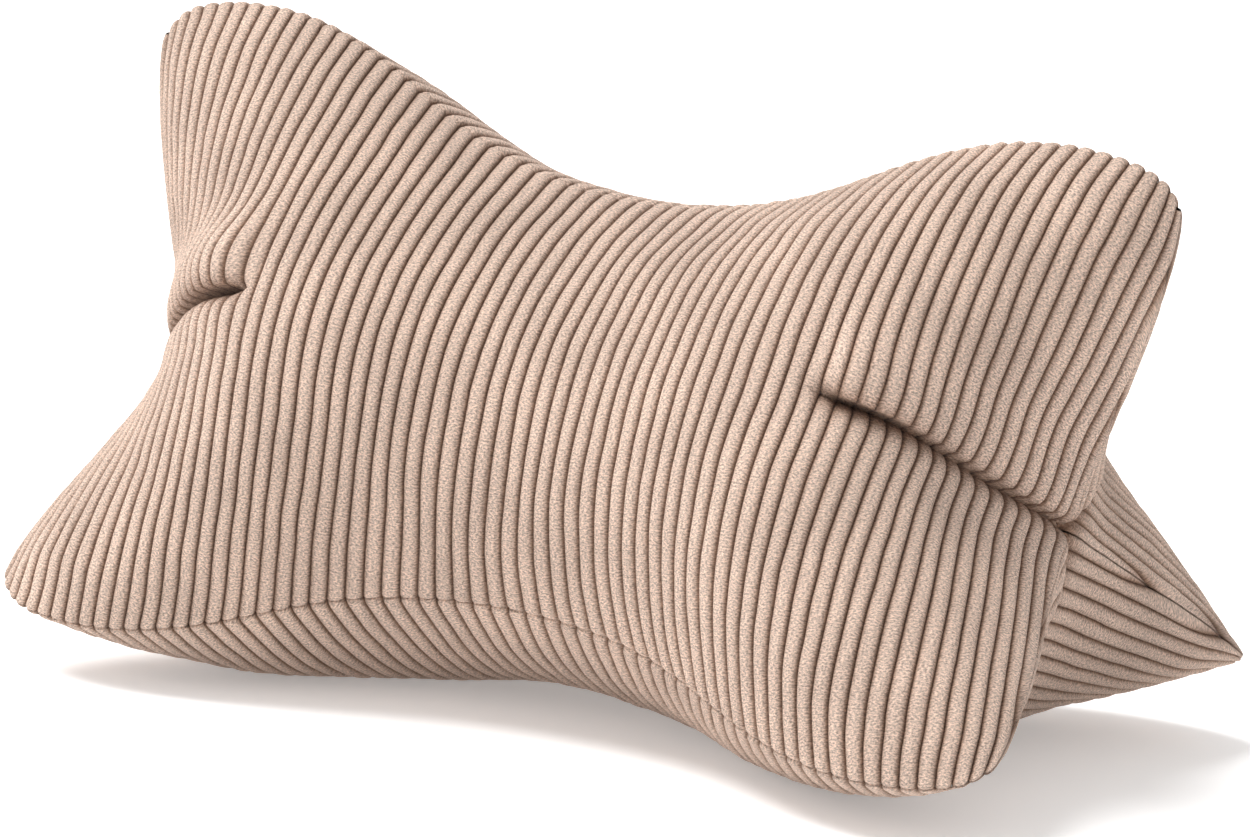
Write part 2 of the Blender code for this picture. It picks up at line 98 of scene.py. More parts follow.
class SewnCover:
    """Three equal panels, each of two halves; half 0 lies on fin P and half 1 on fin P - 1."""

    def __init__(self):
        self.c = panel_columns()
        count = len(self.c)
        self.share = np.linspace(0, 1, ROWS + 1)
        raw = np.arange(3 * 2 * count * (ROWS + 1)).reshape(3, 2, count, ROWS + 1)
        root = raw.copy()
        for p in range(3):
            root[p, 1, :, 0] = root[p, 0, :, 0]
        for p in range(3):
            q = (p + 1) % 3
            root[q, 1, :, ROWS] = root[p, 0, :, ROWS]
            for end in (0, count - 1):
                root[q, 1, end, 1:] = root[p, 0, end, 1:]
        for end in (0, count - 1):
            root[:, :, end, 0] = root[0, 0, end, 0]
        kept, index = np.unique(root.ravel(), return_inverse=True)
        self.index = index.reshape(raw.shape)
        self.count = len(kept)
        v = half_width(self.c)[:, None] * self.share[None, :]
        u = self.c[:, None] + np.sign(self.c)[:, None] * crown(self.c[:, None], v)
        self.flat = np.zeros((3, 2, count, ROWS + 1, 2))
        self.flat[..., 0] = u
        self.flat[:, 0, :, :, 1] = v
        self.flat[:, 1, :, :, 1] = -v
        self.facets()
        self.springs()
        self.folds()
        self.fin_sides()

    def facets(self):
        quads = []
        for p in range(3):
            for h in range(2):
                i = self.index[p, h]
                quad = np.stack([i[:-1, :-1], i[1:, :-1], i[1:, 1:], i[:-1, 1:]], -1).reshape(-1, 4)
                quads.append(quad if h == 0 else quad[:, ::-1])
        quads = np.concatenate(quads)
        t = np.concatenate([quads[:, [0, 1, 2]], quads[:, [0, 2, 3]]])
        whole = (t[:, 0] != t[:, 1]) & (t[:, 1] != t[:, 2]) & (t[:, 0] != t[:, 2])
        self.triangles = t[whole]

    def springs(self):
        ends, lengths, stiff = [], [], []

        def add(a, b, fa, fb, k):
            a, b = a.ravel(), b.ravel()
            length = np.linalg.norm((fa - fb).reshape(-1, 2), axis=1)
            real = (a != b) & (length > 1e-7)
            ends.append(np.stack([a[real], b[real]], 1))
            lengths.append(length[real])
            stiff.append(np.full(real.sum(), k))

        for p in range(3):
            for h in range(2):
                i, f = self.index[p, h], self.flat[p, h]
                add(i[:-1], i[1:], f[:-1], f[1:], 1.0)
                add(i[:, :-1], i[:, 1:], f[:, :-1], f[:, 1:], 1.0)
                add(i[:-1, :-1], i[1:, 1:], f[:-1, :-1], f[1:, 1:], 0.25)
                add(i[1:, :-1], i[:-1, 1:], f[1:, :-1], f[:-1, 1:], 0.25)
        ends, lengths, stiff = np.concatenate(ends), np.concatenate(lengths), np.concatenate(stiff)
        ends = np.sort(ends, axis=1)
        code = ends[:, 0] * self.count + ends[:, 1]
        _, first, back, times = np.unique(code, return_index=True, return_inverse=True, return_counts=True)
        self.ends, self.stiff = ends[first], stiff[first]
        self.lengths = np.bincount(back, lengths) / times

    def folds(self):
        triples, spans = [], []

        def add(i, f):
            a, b, c = i[:-2].ravel(), i[1:-1].ravel(), i[2:].ravel()
            one = np.linalg.norm((f[:-2] - f[1:-1]).reshape(-1, 2), axis=1)
            two = np.linalg.norm((f[1:-1] - f[2:]).reshape(-1, 2), axis=1)
            real = (a != b) & (b != c) & (a != c) & (one > 1e-7) & (two > 1e-7)
            triples.append(np.stack([a[real], b[real], c[real]], 1))
            spans.append(np.stack([one[real], two[real]], 1))

        for p in range(3):
            i = np.concatenate([self.index[p, 1][:, :0:-1], self.index[p, 0]], 1)
            f = np.concatenate([self.flat[p, 1][:, :0:-1], self.flat[p, 0]], 1)
            add(i[1:-1].T, f[1:-1].transpose(1, 0, 2))
            add(i, f)
        self.triples, self.spans = np.concatenate(triples), np.concatenate(spans)

    def fin_sides(self):
        points, sides = [], []
        for p in range(3):
            for h in range(2):
                fin = p if h == 0 else (p - 1) % 3
                used = np.unique(self.index[p, h][:, 1:].ravel())
                points.append(used)
                sides.append(np.repeat(side_vector(fin, p)[None], len(used), 0))
        self.side_points, self.sides = np.concatenate(points), np.concatenate(sides)

    def start(self, thick=0.02):
        """A thin three-armed star that the pressure then fills out."""
        total, hits = np.zeros((self.count, 3)), np.zeros(self.count)
        for p in range(3):
            for h in range(2):
                fin = FIN[p] if h == 0 else FIN[(p - 1) % 3]
                u, v = self.flat[p, h][..., 0], np.abs(self.flat[p, h][..., 1])
                ends = np.clip((HALF_LENGTH - np.abs(self.c)) / 0.05, 0, 1)[:, None]
                lift = thick * np.sqrt(np.clip(1 - self.share[None, :], 0, 1)) * ends
                place = np.stack([u, 0 * u, 0 * u], -1)
                place = place + fin * (0.93 * v)[..., None] + FACE[p] * lift[..., None]
                np.add.at(total, self.index[p, h].ravel(), place.reshape(-1, 3))
                np.add.at(hits, self.index[p, h].ravel(), 1)
        return total / hits[:, None]

    def relax(self, x, pressure, stiffness, steps):
        n = self.count
        a, b = self.ends.T
        k = self.stiff * stiffness
        weight = np.bincount(a, k, n) + np.bincount(b, k, n)
        ia, ib, ic = self.triples.T
        w1, w2 = 1 / self.spans[:, 0], 1 / self.spans[:, 1]
        kb = BENDING / (0.5 * self.spans.sum(1))
        weight += np.bincount(ia, kb * w1 * (2 * w1 + w2) * 2, n)
        weight += np.bincount(ic, kb * w2 * (2 * w2 + w1) * 2, n)
        weight += np.bincount(ib, kb * (w1 + w2) ** 2 * 4, n)
        mass = weight * 0.6
        speed = np.zeros_like(x)
        t0, t1, t2 = self.triangles.T
        for _ in range(steps):
            d = x[b] - x[a]
            length = np.sqrt((d * d).sum(1))
            stretch = length - self.lengths
            pull = k * stretch * np.where(stretch < 0, COMPRESSION, 1.0)
            pull = d * (pull / np.maximum(length, 1e-9))[:, None]
            push = np.cross(x[t1] - x[t0], x[t2] - x[t0]) * (pressure / 6)
            bend = ((x[ia] - x[ib]) * w1[:, None] + (x[ic] - x[ib]) * w2[:, None]) * kb[:, None]
            force = np.empty_like(x)
            for i in range(3):
                f = np.bincount(a, pull[:, i], n) - np.bincount(b, pull[:, i], n)
                f += np.bincount(t0, push[:, i], n) + np.bincount(t1, push[:, i], n)
                f += np.bincount(t2, push[:, i], n)
                f -= np.bincount(ia, bend[:, i] * w1, n) + np.bincount(ic, bend[:, i] * w2, n)
                f += np.bincount(ib, bend[:, i] * (w1 + w2), n)
                force[:, i] = f
            across = (x[self.side_points] * self.sides).sum(1) - SEAM_GAP
            back = np.where(across < 0, -across * weight[self.side_points] * 0.5, 0)[:, None] * self.sides
            for i in range(3):
                force[:, i] += np.bincount(self.side_points, back[:, i], n)
            speed = speed * DAMPING + force / mass[:, None]
            x = x + speed
        return x

    def solve(self):
        x = self.start()
        for pressure, stiffness, steps in STAGES:
            x = self.relax(x, pressure, stiffness, steps)
        return [
            np.concatenate([x[self.index[p, 1][:, :0:-1]], x[self.index[p, 0]]], 1) for p in range(3)
        ]


# ---------------------------------------------------------------- smooth surface between the cloth points

DENSE_COLUMNS, DENSE_ROWS = 900, 241
PRESS_BLEND = 0.003
KNOB_GROWTH = ((0.017, -0.010), (0.0, -0.016), (0.013, 0.032))  # top, back and front fin; left and right
KNOB_PULL = ((0.012, 0.001), (0.0, 0.009), (0.019, 0.005))
ZIP_ARC, ZIP_RADIUS = 0.184, 0.0852  # radius of the zip's arc, and its distance from the axis
CORNER_NEAR, CORNER_SHARE = 0.006, 0.9  # normals are carried into the corners from here


def hermite(knots, values, wanted):
    """Smooth curve through values at the knots, along the first axis."""
    slopes = np.zeros_like(values)
    step = np.diff(knots).reshape(-1, *([1] * (values.ndim - 1)))
    rise = np.diff(values, axis=0) / step
    slopes[1:-1] = (rise[:-1] * step[1:] + rise[1:] * step[:-1]) / (step[1:] + step[:-1])
    slopes[0], slopes[-1] = rise[0], rise[-1]
    i = np.clip(np.searchsorted(knots, wanted) - 1, 0, len(knots) - 2)
    gap = (knots[i + 1] - knots[i]).reshape(-1, *([1] * (values.ndim - 1)))
    t = ((wanted - knots[i]) / (knots[i + 1] - knots[i])).reshape(gap.shape)
    t2, t3 = t * t, t * t * t
    ahead = (2 * t3 - 3 * t2 + 1) * values[i] + (3 * t2 - 2 * t3) * values[i + 1]
    return ahead + ((t3 - 2 * t2 + t) * slopes[i] + (t3 - t2) * slopes[i + 1]) * gap


def unit(vectors):
    return vectors / np.maximum(np.linalg.norm(vectors, axis=-1, keepdims=True), 1e-12)


def pressed(z):
    """Height measured from the axis, once the floor has pressed the underside flat."""
    return PRESS_BLEND * np.logaddexp(0, (z + AXIS_HEIGHT) / PRESS_BLEND) - AXIS_HEIGHT


def eased(x):
    x = np.clip(x, 0, 1)
    return x * x * (3 - 2 * x)


def settled(points):
    """The stuffed knobs are a little uneven, and the whole cushion rests on the floor."""
    left, right = eased(-points[..., :1] / 0.2), eased(points[..., :1] / 0.2)
    reach = np.linalg.norm(points[..., 1:], axis=-1, keepdims=True)
    moved = points.copy()
    for fin, (grow_left, grow_right), (pull_left, pull_right) in zip(FIN, KNOB_GROWTH, KNOB_PULL):
        along_fin = points[..., 1:] @ fin[1:, None]
        weight = eased((along_fin / np.maximum(reach, 1e-9) - 0.3) / 0.7)
        moved += fin * (grow_left * left + grow_right * right) * weight * along_fin
        moved[..., :1] += (pull_left * left - pull_right * right) * weight * np.clip(reach / 0.1, 0, 1.2)
    moved[..., 2] = pressed(moved[..., 2])
    return moved


class Surface:
    """A panel's solved surface, read at any column place and share of the half width."""

    def __init__(self, columns, grid, panel):
        self.c = np.linspace(-HALF_LENGTH, HALF_LENGTH, DENSE_COLUMNS)
        self.s = np.linspace(-1, 1, DENSE_ROWS)
        rows = np.linspace(-1, 1, grid.shape[1])
        along = hermite(columns, grid, self.c)
        self.table = hermite(rows, along.transpose(1, 0, 2), self.s).transpose(1, 0, 2)
        self.table = settled(self.table)
        self.meet_zip(panel)
        self.along = unit(np.gradient(self.table, axis=0))
        self.across = unit(np.gradient(self.table, axis=1))
        out = unit(np.cross(self.along, self.across))
        out = out if out[DENSE_COLUMNS // 2, DENSE_ROWS // 2].dot(FACE[panel]) > 0 else -out
        self.out = self.with_calm_corners(out)

    def meet_zip(self, panel):
        """The open back seam follows the arc that the slider runs on."""
        for row, fin in ((0, (panel - 1) % 3), (-1, panel)):
            if fin != 1:
                continue
            x, reach = self.table[:, row, 0], self.table[:, row] @ FIN[fin]
            arc = ZIP_RADIUS + ZIP_ARC - np.sqrt(np.clip(ZIP_ARC**2 - x**2, 0, None))
            shift = (arc - reach) * (1 - eased((np.abs(x) - 0.086) / 0.04))
            weight = eased((self.s if row else -self.s) * 2 - 1)
            self.table += FIN[fin] * (shift[:, None] * weight[None, :])[..., None]

    def with_calm_corners(self, out):
        """Near a corner the two edges are nearly parallel, so its normals come from beside it."""
        c, s = np.meshgrid(self.c, self.s, indexing="ij")
        start = HALF_LENGTH - CORNER_NEAR
        a, b = (np.abs(c) - start) / CORNER_NEAR, (np.abs(s) - CORNER_SHARE) / (1 - CORNER_SHARE)
        beside = self.at(out, np.clip(c, -start, start), s)
        below = self.at(out, c, np.clip(s, -CORNER_SHARE, CORNER_SHARE))
        share = np.clip(b, 0, 1) / np.maximum(np.clip(a, 0, 1) + np.clip(b, 0, 1), 1e-9)
        mixed = unit(beside * share[..., None] + below * (1 - share)[..., None])
        return np.where(((a > 0) & (b > 0))[..., None], mixed, out)

    def at(self, t, c, s):
        x = np.clip((c + HALF_LENGTH) / (2 * HALF_LENGTH), 0, 1) * (DENSE_COLUMNS - 1)
        y = np.clip((s + 1) / 2, 0, 1) * (DENSE_ROWS - 1)
        i = np.clip(x.astype(int), 0, DENSE_COLUMNS - 2)
        j = np.clip(y.astype(int), 0, DENSE_ROWS - 2)
        fx, fy = (x - i)[..., None], (y - j)[..., None]
        low = t[i, j] * (1 - fx) + t[i + 1, j] * fx
        high = t[i, j + 1] * (1 - fx) + t[i + 1, j + 1] * fx
        return low * (1 - fy) + high * fy


def column_of(u, v):
    """The column place of a flat point."""
    c = np.array(u, float)
    for _ in range(30):
        c = 0.5 * c + 0.5 * np.sign(u) * (np.abs(u) - crown(c, v))
    return np.clip(c, -HALF_LENGTH, HALF_LENGTH)


def noise(points, size, seed):
    """Smooth value noise from -1 to 1 in two or three dimensions, with features of this size."""
    table = np.random.RandomState(seed).uniform(-1, 1, 4096)
    primes = np.array([1, 57, 331])[: points.shape[-1]]
    p = points / size + 1000.0
    cell = np.floor(p).astype(int)
    f = p - cell
    f = f * f * (3 - 2 * f)
    total = np.zeros(points.shape[:-1])
    for corner in range(2 ** points.shape[-1]):
        pick = np.array([(corner >> k) & 1 for k in range(points.shape[-1])])
        weight = np.prod(np.where(pick == 1, f, 1 - f), axis=-1)
        total += weight * table[((cell + pick) * primes).sum(-1) % 4096]
    return total


# ---------------------------------------------------------------- fine corduroy panels

CORD_PHASES = (0.0, 0.05, 0.12, 0.22, 0.36, 0.5, 0.64, 0.78, 0.88, 0.95)
CORD_DEPTH = 0.0020
CORD_FLATNESS, CORD_ROUNDING = 3.1, 0.66  # shape of one cord across its width
EDGE_STEPS = np.array([0.0, 0.35, 0.8, 1.4, 2.2, 3.2, 4.5, 6.5]) / 1000
MIDDLE_STEPS = np.array([0.0, 0.25, 0.6, 1.1, 1.8, 2.8, 4.2, 6.0, 8.0]) / 1000
HALF_ROWS = 46
SEAM_ROLL = 0.0024  # the cloth turns into the seam with this radius
SEAM_REACH = 0.007
LAST_COLUMN = 34.93 * CORD
HEM = (0.0, 0.0015, 0.0050)  # the turned-in edge goes this far below the seam
MOST_ACROSS = 0.0003  # cloth keeps this far from a seam's plane

FOLD_FROM, FOLD_FULL, FOLD_FADE = 0.108, 0.124, 0.165  # the fold in the panel's middle, along the panel
FOLD_DEPTH, FOLD_WIDTH, FOLD_END = 0.0105, 0.0078, 0.60
FOLD_LIP, FOLD_SILL = 0.0060, 0.0010  # the fin above bulges over the fold, and the one below a little
FOLD_OVERHANG = 0.0040
FOLD_CALM = 0.014  # the bulges at the fold fade out this near a seam
PAINTED_FOLD_SHADE_REACH = 0.0050  # painted shade darkens the pile colour this near the bottom of the fold
FOLD_RISE = 0.0055  # the fold starts this far above the panel's middle

ZIP_OPEN_TO, ZIP_SHUT_AT = 0.0765, 0.0906  # along X
SLOT = 0.0036  # depth of the zip's slot in each panel edge


def slot_width(u):
    """How far the zip's slot draws a panel edge back at this place along the panel."""
    return SLOT * np.clip((ZIP_SHUT_AT + 0.004 - np.abs(u)) / (ZIP_SHUT_AT - ZIP_OPEN_TO), 0, 1)


def fine_columns():
    count = int(LAST_COLUMN / CORD)
    u = [(k + phase) * CORD for k in range(-count, count) for phase in CORD_PHASES]
    u += [count * CORD]
    outer = [(count + phase) * CORD for phase in CORD_PHASES[1:]]
    outer = [x for x in outer if x < LAST_COLUMN - 1e-4] + [LAST_COLUMN]
    return np.array([-x for x in outer[::-1]] + u + outer)


def edge_of(u):
    """Half width of the cloth along a line of constant u, which the end edge cuts short."""
    a = np.abs(u)
    beyond = CORNER_WIDTH * (1 - (a - HALF_LENGTH) / END_CROWN)
    return np.where(a <= HALF_LENGTH, half_width(np.minimum(a, HALF_LENGTH)), np.clip(beyond, 0, None))


def fine_rows(low, high, fold):
    """v of each row for one column, denser at both edges and along the middle fold."""
    half = []
    for width in (fold - low, high - fold):
        scale = min(1.0, width / 0.04)
        near, far = MIDDLE_STEPS * scale, width - EDGE_STEPS * scale
        between = np.linspace(near[-1], far[-1], HALF_ROWS)
        half.append(np.concatenate([near, between[1:-1], far[::-1]]))
    return fold + np.concatenate([-half[0][:0:-1], half[1]])


def edge_distance(u, v):
    """Distance from the flat panel's edge, for a quarter of the panel mirrored to all four."""
    c = np.linspace(0, HALF_LENGTH, 500)
    ridge = np.stack([c, half_width(c)], 1)
    w = np.linspace(CORNER_WIDTH, 0, 160)
    end = np.stack([HALF_LENGTH + END_CROWN * (1 - w / CORNER_WIDTH), w], 1)
    line = np.concatenate([ridge, end])
    a, b = line[:-1], line[1:]
    ab = b - a
    size = np.maximum((ab * ab).sum(1), 1e-18)
    best = np.empty(u.size)
    points = np.stack([np.abs(u).ravel(), np.abs(v).ravel()], 1)
    for first in range(0, len(points), 4000):
        p = points[first : first + 4000, None] - a
        t = np.clip((p * ab).sum(-1) / size, 0, 1)
        off = p - ab * t[..., None]
        best[first : first + 4000] = np.sqrt((off * off).sum(-1)).min(1)
    return best.reshape(u.shape)


def cord_height_and_shade(u):
    """Height of the pile over the bottom of the groove, from 0 to 1; the colour also darkens with it as
    painted shade in the grooves.
    """
    phase = np.abs((u / CORD) % 1.0 - 0.5) * 2
    return np.clip(1 - phase**CORD_FLATNESS, 0, 1) ** CORD_ROUNDING


def smooth(low, high, x):
    """0 below low, 1 above high, and eased between."""
    return eased((x - low) / (high - low))


def fold_share(u):
    a = np.abs(u)
    return smooth(FOLD_FROM, FOLD_FULL, a) * (1 - (1 - FOLD_END) * smooth(FOLD_FULL, FOLD_FADE, a))


def fold_line(u, panel):
    """v of the fold, which is a little above the middle of the two upper panels."""
    rise = FOLD_RISE * (1 - smooth(FOLD_FULL, 0.19, np.abs(u)))
    return rise * (1, -1, 0)[panel]


def fold_overhang(u, v, away):
    """How far the cloth above the fold hangs over it."""
    near = smooth(0, 0.0045, v) * (1 - smooth(0.006, 0.036, v))
    return FOLD_OVERHANG * fold_share(u) * np.where(v > 0, near, 0) * smooth(0, FOLD_CALM, away)


def fold_drop(u, v, away):
    """How far the middle fold draws the cloth in; both sides roll into it."""
    depth = fold_share(u)
    roll = np.clip(1 - np.abs(v) / FOLD_WIDTH, 0, 1)
    drop = FOLD_DEPTH * (1 - np.sqrt(np.clip(1 - roll**2, 0, 1)))
    lip = FOLD_LIP * np.exp(-(((v - 0.014) / 0.013) ** 2))
    sill = FOLD_SILL * np.exp(-(((v + 0.010) / 0.008) ** 2))
    lip = np.where(v > 0, lip, sill) * smooth(0, 0.004, np.abs(v)) * smooth(0, FOLD_CALM, away)
    return depth * (drop - lip)


def inward_of(line, fin):
    """Unit vectors in a fin's plane, square to its edge line and into the cushion."""
    flat = np.stack([line[:, 0], line @ FIN[fin]], 1)
    tangent = np.gradient(flat, axis=0)
    for _ in range(6):
        tangent[1:-1] = (tangent[:-2] + 2 * tangent[1:-1] + tangent[2:]) / 4
    tangent = unit(tangent)
    return np.array([1.0, 0, 0]) * tangent[:, 1:] - FIN[fin] * tangent[:, :1]


def lift_direction(base, out, v, away, panel):
    """Outwards from the cloth, turned into the fin's own plane near its seam."""
    low = -inward_of(base[:, 0], (panel - 1) % 3)[:, None]
    high = -inward_of(base[:, -1], panel)[:, None]
    edge = (1 - smooth(0, SEAM_REACH, away))[..., None]
    return unit(out * (1 - edge) + np.where(v[..., None] < 0, low, high) * edge)


def fine_panel(panel, surface, zip_low, zip_high):
    """(points, flat coordinates, height of the pile, lowered along the bottom of the fold as painted shade)
    of the finished panel surface.
    """
    u = fine_columns()
    edge = edge_of(u)
    slot = slot_width(u)
    fold = fold_line(u, panel)
    lows, highs = -edge + (slot if zip_low else 0), edge - (slot if zip_high else 0)
    v = np.array([fine_rows(*place) for place in zip(lows, highs, np.clip(fold, lows / 2, highs / 2))])
    u = np.repeat(u[:, None], v.shape[1], 1)
    c = column_of(u, v)
    s = v / half_width(c)
    base, out = surface.at(surface.table, c, s), surface.at(surface.out, c, s)
    away = edge_distance(u, v)
    if zip_low:
        away = np.where(v < 0, np.minimum(away, v + edge[:, None]), away)
    height_and_shade = cord_height_and_shade(u)
    roll = np.clip(1 - away / SEAM_ROLL, 0, 1)
    sink = SEAM_ROLL * (1 - np.sqrt(np.clip(1 - roll**2, 0, 1)))
    flat = np.stack([u, v], -1)
    seeds = 11 + 7 * panel
    waves = 0.0011 * noise(flat, 0.055, seeds) + 0.0004 * noise(flat, 0.022, seeds + 1)
    calm = np.clip(away / 0.02, 0, 1)
    ripple = 0.00022 * noise(flat * np.array([1.0, 0.6]), 0.0042, seeds + 2)
    fold = v - fold_line(u, panel)
    upward = (1, -1, 1)[panel]
    drop = fold_drop(u, upward * fold, away)
    lift = (height_and_shade - 1) * CORD_DEPTH + ripple * height_and_shade + waves * calm - sink - drop
    along = surface.at(surface.along, c, s)
    rise = lift_direction(base, out, v, away, panel)
    sway = 0.0007 * noise(flat, 0.035, seeds + 3) + 0.00025 * noise(flat, 0.011, seeds + 4)
    points = base + rise * lift[..., None] + along * (sway * calm)[..., None]
    if panel != 2:
        over = fold_overhang(u, upward * fold, away) * -upward
        points += surface.at(surface.across, c, s) * over[..., None]
    for half, fin in ((v >= 0, panel), (v < 0, (panel - 1) % 3)):
        side = side_vector(fin, panel)
        across = points @ side
        short = np.where(half & (across < MOST_ACROSS), MOST_ACROSS - across, 0)
        points = points + short[..., None] * side
    points[..., 2] = np.maximum(points[..., 2], -AXIS_HEIGHT)
    # painted shade along the bottom of the fold; it changes only the colour, through the height attribute
    painted_fold_shade = fold_share(u) * np.exp(-((fold / PAINTED_FOLD_SHADE_REACH) ** 2))
    return points, flat, height_and_shade * (1 - 0.8 * painted_fold_shade)


def hem(points, row, fin):
    """A strip that turns in below the seam at one edge of a panel."""
    inward = inward_of(points[:, row], fin)
    return np.stack([points[:, row] + inward * depth for depth in HEM], 1)


def grid_mesh(name, grids):
    """One mesh of one or more grids of points."""
    vertices, faces = [], []
    start = 0
    for grid in grids:
        columns, rows = grid.shape[:2]
        at = start + np.arange(columns * rows).reshape(columns, rows)
        quads = np.stack([at[:-1, :-1], at[1:, :-1], at[1:, 1:], at[:-1, 1:]], -1).reshape(-1, 4)
        faces.append(quads)
        vertices.append(grid.reshape(-1, 3))
        start += columns * rows
    vertices = np.concatenate(vertices) + np.array([0, 0, AXIS_HEIGHT])
    faces = np.concatenate(faces)
    mesh = bpy.data.meshes.new(name)
    mesh.vertices.add(len(vertices))
    mesh.vertices.foreach_set("co", vertices.astype(np.float32).ravel())
    mesh.loops.add(faces.size)
    mesh.loops.foreach_set("vertex_index", faces.astype(np.int32).ravel())
    mesh.polygons.add(len(faces))
    mesh.polygons.foreach_set("loop_start", np.arange(0, faces.size, 4, dtype=np.int32))
    mesh.polygons.foreach_set("use_smooth", np.ones(len(faces), bool))
    mesh.update(calc_edges=True)
    mesh.validate()
    return mesh


def add_piece(name, data, finish, body, slot, *nodes):
    obj = bpy.data.objects.new(name, data)
    bpy.context.scene.collection.objects.link(obj)
    data.materials.append(finish)
    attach(obj, body)
    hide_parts(*nodes)
    return obj


def set_attribute(mesh, name, kind, values):
    made = mesh.attributes.new(name, kind, "POINT")
    field = "vector" if kind == "FLOAT_VECTOR" else "value"
    made.data.foreach_set(field, np.asarray(values, np.float32).ravel())


# ---------------------------------------------------------------- inside of the cushion

LINER_DEPTH, FILLING_DEPTH, THREAD_DEPTH = 0.0050, 0.0075, 0.0042
INNER_COLUMNS, INNER_HALF_ROWS = 90, 22
INNER_FOLD = 0.024
THREAD_RADIUS = 0.00035
LABEL_TO = 0.1035  # along X; the back seam's thread starts again here


def inner_grid(surface, panel, depth, gap):
    """A panel's surface moved inwards, kept on its own side of the seams' planes."""
    c = np.linspace(-HALF_LENGTH, HALF_LENGTH, INNER_COLUMNS)
    s = np.linspace(-1, 1, 2 * INNER_HALF_ROWS + 1)
    c, s = np.meshgrid(c, s, indexing="ij")
    near = np.clip(1 - np.abs(s * half_width(c) - fold_line(c, panel)) / INNER_FOLD, 0, 1)
    depth_here = depth + FOLD_DEPTH * fold_share(c) * near
    points = surface.at(surface.table, c, s) - surface.at(surface.out, c, s) * depth_here[..., None]
    ends = np.sign(c) * np.maximum(np.abs(points[..., 0]) - depth, 0)
    points[..., 0] = np.where(np.abs(c) > HALF_LENGTH * 0.97, ends, points[..., 0])
    for half, fin in ((s >= 0, panel), (s < 0, (panel - 1) % 3)):
        side = side_vector(fin, panel)
        across = points @ side
        edge = (np.abs(s) > 0.999) | (np.abs(c) > HALF_LENGTH - 1e-6)
        wanted = np.where(edge, gap, np.maximum(across, gap))
        points = points + np.where(half, wanted - across, 0)[..., None] * side
    points[..., 2] = np.maximum(points[..., 2], depth - AXIS_HEIGHT)
    return points


def ridge_line(surface, fin, depth):
    """Points along a fin's seam, this far below its ridge."""
    c = np.linspace(-HALF_LENGTH, HALF_LENGTH, 160)
    s = np.ones_like(c)
    points = surface.at(surface.table, c, s)
    side = side_vector(fin, fin)
    points = points + inward_of(points, fin) * depth
    points -= side * (points @ side)[:, None]
    points[:, 2] = np.maximum(points[:, 2], depth - AXIS_HEIGHT)
    return points


def add_thread(name, line, node):
    curve = bpy.data.curves.new(name, "CURVE")
    curve.dimensions = "3D"
    curve.bevel_depth = THREAD_RADIUS
    curve.bevel_resolution = 2
    curve.use_fill_caps = True
    spline = curve.splines.new("POLY")
    spline.points.add(len(line) - 1)
    for knot, place in zip(spline.points, line):
        knot.co = (place[0], place[1], place[2] + AXIS_HEIGHT, 1.0)
    return add_piece(name, curve, THREAD, "cushion", "thread", node)


# ---------------------------------------------------------------- materials


def node_material(name):
    made = bpy.data.materials.new(name)
    made.use_nodes = True
    nodes = made.node_tree.nodes
    return made, nodes, made.node_tree.links, nodes["Principled BSDF"]


